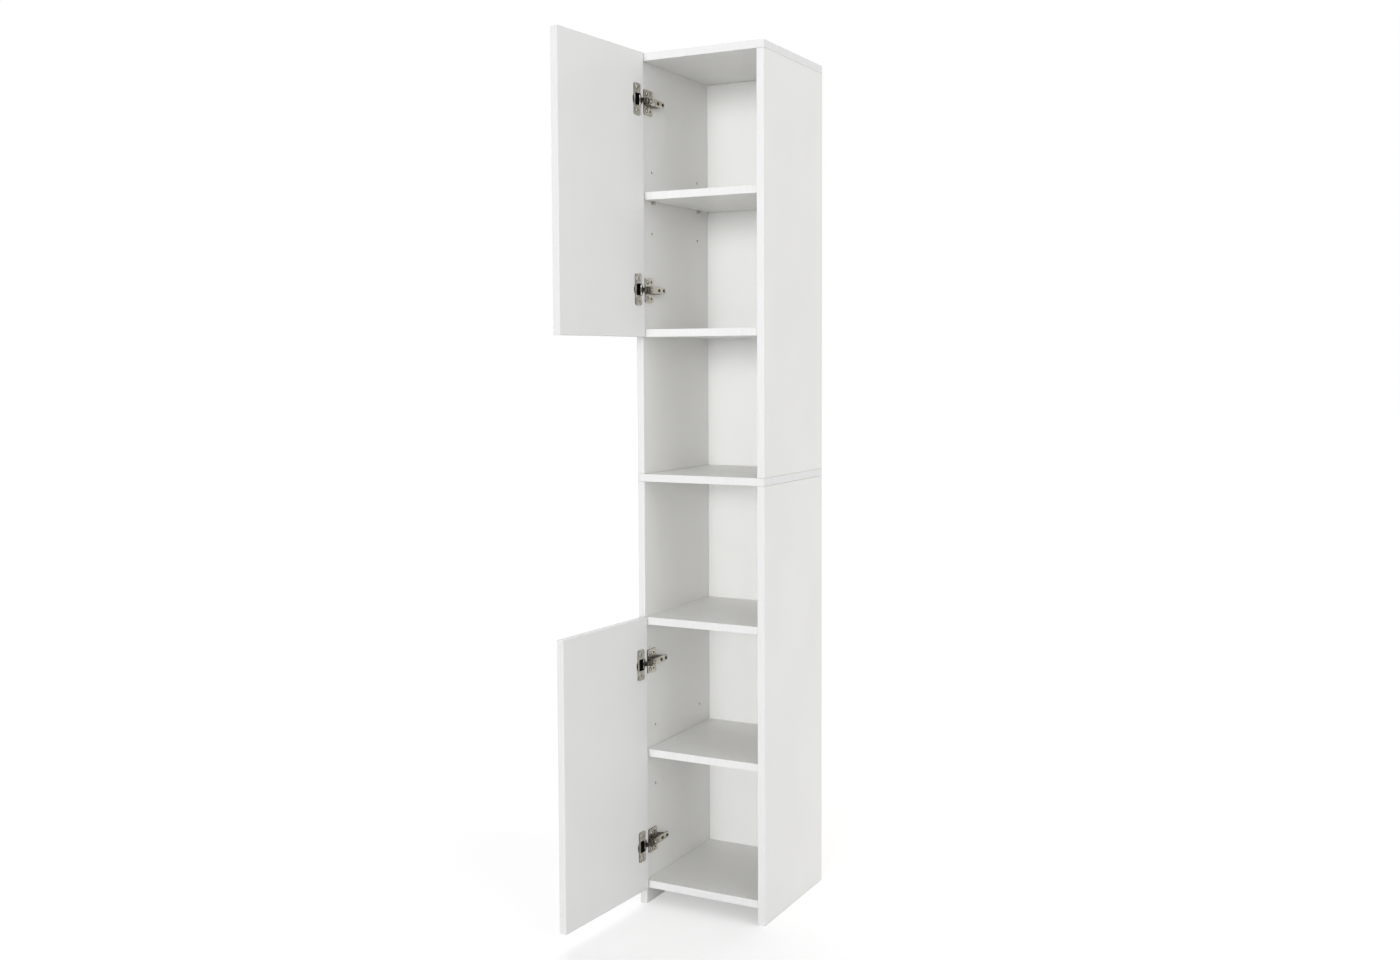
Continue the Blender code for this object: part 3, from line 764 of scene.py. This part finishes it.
def mounting_plate(tag):
    """Winged pressed plate: a screw and a spare hole in each wing, and the rail that the arm grips."""
    node = tag + "_plate"
    low, high = level_box(node)
    z = (low.z + high.z) / 2
    wing_z = (high.z - low.z) / 2
    line = low.y + WING_REACH
    rear = line + WING_REACH
    face = low.x + PLATE_SHEET
    fillet, corner, body = PLATE_FILLET, WING_CORNER, PLATE_BODY_Z
    outline = arc((high.y - fillet, z + body - fillet), fillet, 0, 90)
    outline += arc((rear + fillet, z + body + fillet), fillet, 270, 180)
    outline += arc((rear - corner, z + wing_z - corner), corner, 0, 90)
    outline += arc((low.y + corner, z + wing_z - corner), corner, 90, 180)
    outline += arc((low.y + corner, z - wing_z + corner), corner, 180, 270)
    outline += arc((rear - corner, z - wing_z + corner), corner, 270, 360)
    outline += arc((rear + fillet, z - body - fillet), fillet, 180, 90)
    outline += arc((high.y - fillet, z - body + fillet), fillet, 270, 360)
    shape = prism(outline, 0, low.x, face)
    round_edges(shape, PLATE_EDGE, on_plane(0, face), 3)
    # edge faces near-black: painted shade round the plate
    cut_and_shaded_edges(shape, 0)
    # spare holes, walls and floor near-black: painted shade in the holes
    holes = [prism(circle((line + PLATE_SCREW_STEP, z + sign * PLATE_SCREW_Z), PLATE_HOLE_R),
                   0, low.x + PLATE_FLOOR, face + PLATE_SHEET) for sign in (-1, 1)]
    shape = carved(shape, holes, 2)
    rail = block((face - PLATE_SHEET / 2, low.y + RAIL_START, z - RAIL_Z),
                 (high.x, high.y - RAIL_END, z + RAIL_Z))
    round_edges(rail, PLATE_EDGE)
    merge(shape, rail)
    piece(tag + "_plate_pressing", shape, [NICKEL, CUT_EDGE_AND_SHADE_NICKEL, PAINTED_SHADE_RECESS], CABINET, None,
          (node,))
    for end, sign in ENDS:
        seat = Vector((face, line - PLATE_SCREW_STEP, z + sign * PLATE_SCREW_Z))
        # a raised seat round each plate screw in the near-black nickel: painted shade round the screw
        dimple = turned([(0, 0.0), (DIMPLE_R, 0.0), (DIMPLE_R * 0.97, DIMPLE_HIGH * 0.6),
                         (DIMPLE_R * 0.8, DIMPLE_HIGH), (0, DIMPLE_HIGH)])
        moved(dimple, Matrix.Translation(seat) @ TO_RIGHT)
        piece(f"{tag}_plate_dimple_{end}", dimple, [CUT_EDGE_AND_SHADE_NICKEL], CABINET)
        screw(f"{tag}_plate_screw_{end}", EURO_SCREW, seat + Vector((DIMPLE_HIGH, 0, 0)), (1, 0, 0),
              PLATE_SPIN[end], CABINET)


def arm_ring(y, middle, face, half, deep, sunk):
    """One cross-section of the arm: a channel open towards the side panel."""
    crown = face - sunk
    foot = crown - deep
    corner = min(ARM_ROUND, half * ARM_ROUND_MOST, deep * ARM_ROUND_MOST)
    inner = max(corner - SHEET, corner * ARM_INSIDE_LEAST)
    x, x_inner = crown - corner, crown - SHEET - inner
    z, z_inner = half - corner, half - SHEET - inner
    outer = [(foot, -half)] + arc((x, -z), corner, 270, 360) + arc((x, z), corner, 0, 90) + [(foot, half)]
    inside = [(foot, half - SHEET)] + arc((x_inner, z_inner), inner, 90, 0)
    inside += arc((x_inner, -z_inner), inner, 0, -90) + [(foot, SHEET - half)]
    return [Vector((across, y, middle + up)) for across, up in outer + inside]


def oblong(y, z, length, radius):
    """Outline of a slot along Y, with round ends."""
    return arc((y + length / 2 - radius, z), radius, -90, 90, 2 * CORNER_STEPS) \
        + arc((y - length / 2 + radius, z), radius, 90, 270, 2 * CORNER_STEPS)


def arm_pressing(tag, low, high):
    """The arm's bent sheet: bright on top, near-black on its cheeks and nose as painted shade, with slots
    in its top whose walls are painted near-black as shade.
    """
    middle = (low.z + high.z) / 2
    half = (high.z - low.z) / 2
    deep = high.x - low.x
    length = high.y - low.y
    body = loft([arm_ring(low.y + share * length, middle, high.x, half - narrow, deep * depth, sunk)
                 for share, narrow, depth, sunk in ARM_ROWS])
    bmesh.ops.recalc_face_normals(body, faces=body.faces)
    body.normal_update()
    for part in body.faces:
        # cheeks and nose take the near-black nickel: painted shade
        cheek = abs(part.normal.z) > SHADED_CHEEK_FROM
        nose = part.calc_center_median().y < low.y + NOSE_SHARE * length
        part.material_index = 1 if cheek or nose else 0
    cutters = [prism(oblong(low.y + share * length, middle, long, radius),
                     0, high.x - SLOT_DEEP, high.x + SHEET) for share, long, radius in ARM_SLOTS]
    shape = carved(body, cutters, 2)
    bmesh.ops.remove_doubles(shape, verts=shape.verts, dist=WELD)
    piece(tag + "_arm_pressing", shape, [NICKEL, CUT_EDGE_AND_SHADE_NICKEL, PAINTED_SHADE_RECESS], CABINET, None,
          (tag + "_arm",))


def arm_rib_ring(y, middle, face, half, rise):
    """One cross-section of the rib pressed up along the arm's top."""
    angles = [math.pi * i / RIB_STEPS for i in range(1, RIB_STEPS)]
    foot = face - RIB_SUNK
    crown = [Vector((face + rise * math.sin(angle), y, middle - half * math.cos(angle)))
             for angle in angles]
    return [Vector((foot, y, middle - half))] + crown + [Vector((foot, y, middle + half))]


def arm_boss(tag, place):
    """A rimmed boss on the arm's top, painted near-black as shade and blacker inside its rim, with the
    side screw in it.
    """
    shape = turned([(0, -SHEET / 2), (BOSS_R, -SHEET / 2), (BOSS_R, BOSS_HIGH * 0.5),
                    (BOSS_R * 0.9, BOSS_HIGH), (BOSS_R * BOSS_LIP, BOSS_HIGH),
                    (BOSS_R * BOSS_FLOOR, 0.0), (0, 0.0)])
    inner = BOSS_R * (BOSS_LIP + BOSS_FLOOR) / 2
    for part in shape.faces:
        inside = part.calc_center_median().xy.length < inner
        part.material_index = 1 if inside else 0
    moved(shape, Matrix.Translation(place) @ TO_RIGHT)
    piece(tag + "_arm_boss", shape, [CUT_EDGE_AND_SHADE_NICKEL, PAINTED_SHADE_RECESS], CABINET)
    screw(tag + "_arm_screw_side", SIDE_SCREW, place, (1, 0, 0), SIDE_SPIN, CABINET)


def arm_pin(tag, place, reach):
    """The pin that the link turns on, with a rivet head on each cheek, the heads painted near-black as
    shade.
    """
    profile = [(0, -PIN_HEAD_SUNK), (PIN_HEAD_R, -PIN_HEAD_SUNK), (PIN_HEAD_R, PIN_HEAD_HIGH * 0.4),
               (PIN_HEAD_R * 0.7, PIN_HEAD_HIGH), (0, PIN_HEAD_HIGH * 1.15)]
    for end, sign in ENDS:
        lay = Matrix.Translation((place.x, place.y, place.z + sign * reach))
        if sign < 0:
            lay = lay @ Matrix.Rotation(math.pi, 4, "X")
        piece(f"{tag}_arm_rivet_{end}", moved(turned(profile), lay), [CUT_EDGE_AND_SHADE_NICKEL], CABINET)
    pin = turned([(0, -reach), (PIN_R, -reach), (PIN_R, reach), (0, reach)])
    moved(pin, Matrix.Translation(place))
    piece(tag + "_arm_pin", pin, [SCREW_STEEL], CABINET)


def hinge_arm(tag, link_axis):
    """Pressed arm: nose around the link's pin, channel over the plate, slotted tail with its screws."""
    low, high = level_box(tag + "_arm")
    middle = (low.z + high.z) / 2
    half = (high.z - low.z) / 2
    length = high.y - low.y
    arm_pressing(tag, low, high)
    rib = loft([arm_rib_ring(low.y + share * length, middle, high.x, width, rise)
                for share, width, rise in RIB_ROWS])
    piece(tag + "_arm_rib", rib, [NICKEL], CABINET)
    arm_boss(tag, Vector((high.x, low.y + BOSS_SHARE * length, middle)))
    screw(tag + "_arm_screw_depth", DEPTH_SCREW,
          (high.x - SLOT_DEEP, low.y + ARM_SLOTS[0][0] * length, middle), (1, 0, 0), DEPTH_SPIN, CABINET)
    arm_pin(tag, Vector((link_axis.x, link_axis.y, middle)), half - ARM_SWELL)


def hinge_link(tag, body, turn, link_axis, cup_axis):
    """Goosenecked link: a pressed strip with a rolled eye at each end, painted near-black as shade and
    dark reflection.
    """
    node = tag + "_link"
    low, high = level_box(node)
    z = (low.z + high.z) / 2
    level = turn.inverted()
    start = (level @ link_axis).xy
    end = (level @ cup_axis).xy
    bend = end + Vector((NECK_AHEAD, -NECK_BELOW))
    first = (bend - start).normalized()
    second = (end - bend).normalized()
    side_one = Vector((-first.y, first.x))
    side_two = Vector((-second.y, second.x))
    mitre = (side_one + side_two).normalized()
    reach = LINK_HALF / mitre.dot(side_one)
    near = start + first * EYE_R * EYE_JOIN
    far = end - second * EYE_R * EYE_JOIN
    points = [near + side_one * LINK_HALF, bend + mitre * reach, far + side_two * LINK_HALF,
              far - side_two * LINK_HALF, bend - mitre * reach, near - side_one * LINK_HALF]
    half = LINK_WIDTH / 2
    shape = prism([tuple(point) for point in points], 2, z - half, z + half)
    round_edges(shape, LINK_ROUND)
    hole = PIN_R + PIN_PLAY
    shoulder = half - EYE_ROUND
    profile = [(hole, -half), (EYE_R - EYE_ROUND, -half), (EYE_R, -shoulder), (EYE_R, shoulder),
               (EYE_R - EYE_ROUND, half), (hole, half), (hole, -half)]
    for place in (start, end):
        eye = turned(profile)
        bmesh.ops.remove_doubles(eye, verts=eye.verts, dist=WELD / 4)
        merge(shape, moved(eye, Matrix.Translation((place.x, place.y, z))))
    piece(tag + "_link_pressing", shape, [SHADED_LINK_STEEL], body, turn, (node,))


def cup_bowl(tag, body, turn, middle, radius, bottom, door_face):
    """Drawn cup let into the door, near-black inside, a dark insert and painted shade; its bottom is a
    depth below the door's face.
    """
    inner = radius - CUP_WALL
    floor_level = bottom + CUP_WALL
    profile = [(0, bottom)]
    profile += arc((radius - CUP_BOTTOM_ROUND, bottom + CUP_BOTTOM_ROUND), CUP_BOTTOM_ROUND, -90, 0,
                   CUP_BOTTOM_STEPS)
    profile += [(radius, CUP_LIP * 0.3), (radius - CUP_WALL * 0.3, CUP_LIP),
                (radius - CUP_WALL * 0.7, CUP_LIP), (inner, CUP_LIP * 0.3),
                (inner, floor_level + CUP_FILLET), (inner - CUP_FILLET, floor_level), (0, floor_level)]
    shape = turned(profile, TURN_STEPS)
    # the inner wall and floor take the near-black plastic: painted shade in the cup, with a dark insert
    for part in shape.faces:
        centre = part.calc_center_median()
        inside = centre.xy.length < inner and centre.z > bottom + CUP_WALL / 2
        part.material_index = 1 if inside else 0
    moved(shape, Matrix.Translation((middle.x, door_face, middle.z)) @ TO_REAR)
    piece(tag + "_cup_bowl", shape, [CUP_METAL, CUP_INSERT_AND_SHADE], body, turn, (tag + "_cup",))


def cup_flange(tag, body, turn, middle, low, high, door_face):
    """The cup's flange on the door's face, open around the link, with its two wood screws."""
    near, far = middle.x + FLANGE_NEAR, middle.x + FLANGE_FAR
    window_far = middle.x + WINDOW_FAR
    corner, small = FLANGE_CORNER, WINDOW_CORNER
    up, down = middle.z + WINDOW_Z, middle.z - WINDOW_Z
    outline = arc((far - corner, high.z - corner), corner, 0, 90)
    outline += arc((near + corner, high.z - corner), corner, 90, 180)
    outline += [(near, up)] + arc((window_far - small, up - small), small, 90, 0)
    outline += arc((window_far - small, down + small), small, 0, -90) + [(near, down)]
    outline += arc((near + corner, low.z + corner), corner, 180, 270)
    outline += arc((far - corner, low.z + corner), corner, 270, 360)
    shape = prism(outline, 1, door_face + CUP_LIP, high.y)
    round_edges(shape, FLANGE_EDGE, on_plane(1, high.y), 3)
    # edge faces near-black: painted shade round the flange
    cut_and_shaded_edges(shape, 1)
    piece(tag + "_cup_flange", shape, [CUP_METAL, CUT_EDGE_AND_SHADE_NICKEL], body, turn)
    outwards = turn.to_3x3() @ Vector((0, 1, 0))
    for end, sign in ENDS:
        place = turn @ Vector(((near + far) / 2, high.y, middle.z + sign * FLANGE_SCREW_Z))
        screw(f"{tag}_cup_screw_{end}", WOOD_SCREW, place, outwards, CUP_SPIN[end], body)


def cup_damper(tag, body, turn, middle, base):
    """A tapered block of the near-black plastic on the floor of the cup: a damper, and painted shade deep
    in the cup.
    """
    near, far = middle.x + DAMPER_NEAR, middle.x + DAMPER_FAR
    top = base + DAMPER_HIGH
    shape = prism([(near, base), (far, base), (far - DAMPER_TAPER, top), (near + DAMPER_TAPER, top)],
                  2, middle.z - DAMPER_Z, middle.z + DAMPER_Z)
    round_edges(shape, DAMPER_TAPER / 2, segments=3)
    piece(tag + "_cup_damper", shape, [CUP_INSERT_AND_SHADE], body, turn)


def hinge_cup(tag, body, turn, cup_axis, door_face):
    """The door's half of a hinge: bowl, screwed flange, the link's pin and a damper."""
    low, high = level_box(tag + "_cup", turn)
    middle = (low + high) / 2
    radius = (high.x - low.x) / 2
    bottom = low.y - door_face
    cup_bowl(tag, body, turn, middle, radius, bottom, door_face)
    cup_flange(tag, body, turn, middle, low, high, door_face)
    place = turn.inverted() @ cup_axis
    reach = math.sqrt((radius - CUP_WALL * 2 / 3) ** 2 - (place.x - middle.x) ** 2)
    pin = turned([(0, -reach), (PIN_R, -reach), (PIN_R, reach), (0, reach)])
    moved(pin, Matrix.Translation((place.x, place.y, middle.z)))
    piece(tag + "_cup_pin", pin, [SCREW_STEEL], body, turn)
    cup_damper(tag, body, turn, middle, door_face + bottom + CUP_WALL + SEAM)


for level in ("lower", "upper"):
    link_turn, door_turn = rest_turns(level)
    link_axis = axis_place(level + "_link_turn")
    cup_axis = axis_place(level + "_door_turn")
    door_face = level_box(level + "_door", door_turn)[1].y
    for place in ("lower", "upper"):
        tag = f"{level}_door_{place}_hinge"
        mounting_plate(tag)
        hinge_arm(tag, link_axis)
        hinge_link(tag, level + "_hinge_links", link_turn, link_axis, cup_axis)
        hinge_cup(tag, level + "_door_leaf", door_turn, cup_axis, door_face)

for name, node in frame["nodes"].items():
    if "_dowel_" in name:
        node.data.materials.clear()
        node.data.materials.append(BEECH)


# ---- floor, light and camera -----------------------------------------------------------------------
def seen_rays(tree):
    """One for a ray from the camera, off gloss or through glass, and nothing for the others."""
    path = tree.nodes.new("ShaderNodeLightPath")
    result = path.outputs["Is Camera Ray"]
    for name in ("Is Glossy Ray", "Is Transmission Ray"):
        larger = tree.nodes.new("ShaderNodeMath")
        larger.operation = "MAXIMUM"
        tree.links.new(result, larger.inputs[0])
        tree.links.new(path.outputs[name], larger.inputs[1])
        result = larger.outputs[0]
    return result


def scaled_rays(tree, unseen, seen):
    """A strength for the rays that don't see the background, and another for those that do."""
    strength = tree.nodes.new("ShaderNodeMapRange")
    strength.inputs["To Min"].default_value = unseen
    strength.inputs["To Max"].default_value = seen
    tree.links.new(seen_rays(tree), strength.inputs["Value"])
    return strength.outputs["Result"]


def floor():
    """A pale floor that is seen as white wherever no shadow falls."""
    made = bpy.data.objects.new("floor", bpy.data.meshes.new("floor"))
    shape = bmesh.new()
    bmesh.ops.create_grid(shape, x_segments=1, y_segments=1, size=FLOOR_SIZE / 2)
    shape.to_mesh(made.data)
    shape.free()
    bpy.context.scene.collection.objects.link(made)
    material = bpy.data.materials.new("floor")
    material.use_nodes = True
    tree = material.node_tree
    shader = tree.nodes["Principled BSDF"]
    shader.inputs["Base Color"].default_value = rgb(FLOOR_GREY, FLOOR_GREY, FLOOR_GREY)
    shader.inputs["Roughness"].default_value = FLOOR_ROUGH
    shader.inputs["Specular IOR Level"].default_value = FLOOR_GLOSS
    shader.inputs["Emission Color"].default_value = rgb(1, 1, 1)
    tree.links.new(scaled_rays(tree, 0.0, FLOOR_LIFT), shader.inputs["Emission Strength"])
    made.data.materials.append(material)


def world():
    """Even light, and plain white wherever the camera or a reflection sees past the floor."""
    made = bpy.data.worlds.new("studio")
    bpy.context.scene.world = made
    made.use_nodes = True
    tree = made.node_tree
    back = tree.nodes["Background"]
    back.inputs["Color"].default_value = rgb(1, 1, 1)
    tree.links.new(scaled_rays(tree, WORLD_LIGHT, 1.0), back.inputs["Strength"])


def soft_sun(name, source, strength, degrees):
    """Even light from a direction, as from a large softbox far away."""
    light = bpy.data.lights.new(name, "SUN")
    light.energy = strength
    light.angle = math.radians(degrees)
    made = bpy.data.objects.new(name, light)
    bpy.context.scene.collection.objects.link(made)
    made.rotation_euler = (-Vector(source)).to_track_quat("-Z", "Y").to_euler()


def camera():
    """The photo's view, turned in yaw, pitch and roll, with its lens shifted."""
    made = bpy.data.objects.new("camera", bpy.data.cameras.new("camera"))
    bpy.context.scene.collection.objects.link(made)
    made.data.sensor_width = CAMERA_SENSOR
    made.data.lens = CAMERA_LENS
    made.data.shift_y = CAMERA_SHIFT
    level_ahead = Vector((math.sin(CAMERA_YAW), math.cos(CAMERA_YAW), 0))
    ahead = level_ahead * math.cos(CAMERA_PITCH) + Vector((0, 0, math.sin(CAMERA_PITCH)))
    level_right = Vector((math.cos(CAMERA_YAW), -math.sin(CAMERA_YAW), 0))
    level_up = level_right.cross(ahead)
    right = level_right * math.cos(CAMERA_ROLL) + level_up * math.sin(CAMERA_ROLL)
    up = level_up * math.cos(CAMERA_ROLL) - level_right * math.sin(CAMERA_ROLL)
    turn = Matrix((right, up, -ahead)).transposed()
    made.matrix_world = Matrix.Translation(CAMERA_PLACE) @ turn.to_4x4()
    bpy.context.scene.camera = made


floor()
world()
soft_sun("key", KEY_FROM, KEY_LIGHT, KEY_SOFT)
soft_sun("fill", FILL_FROM, FILL_LIGHT, FILL_SOFT)
soft_sun("rear", REAR_FROM, REAR_LIGHT, REAR_SOFT)
camera()
bpy.context.scene.view_settings.view_transform = "Standard"
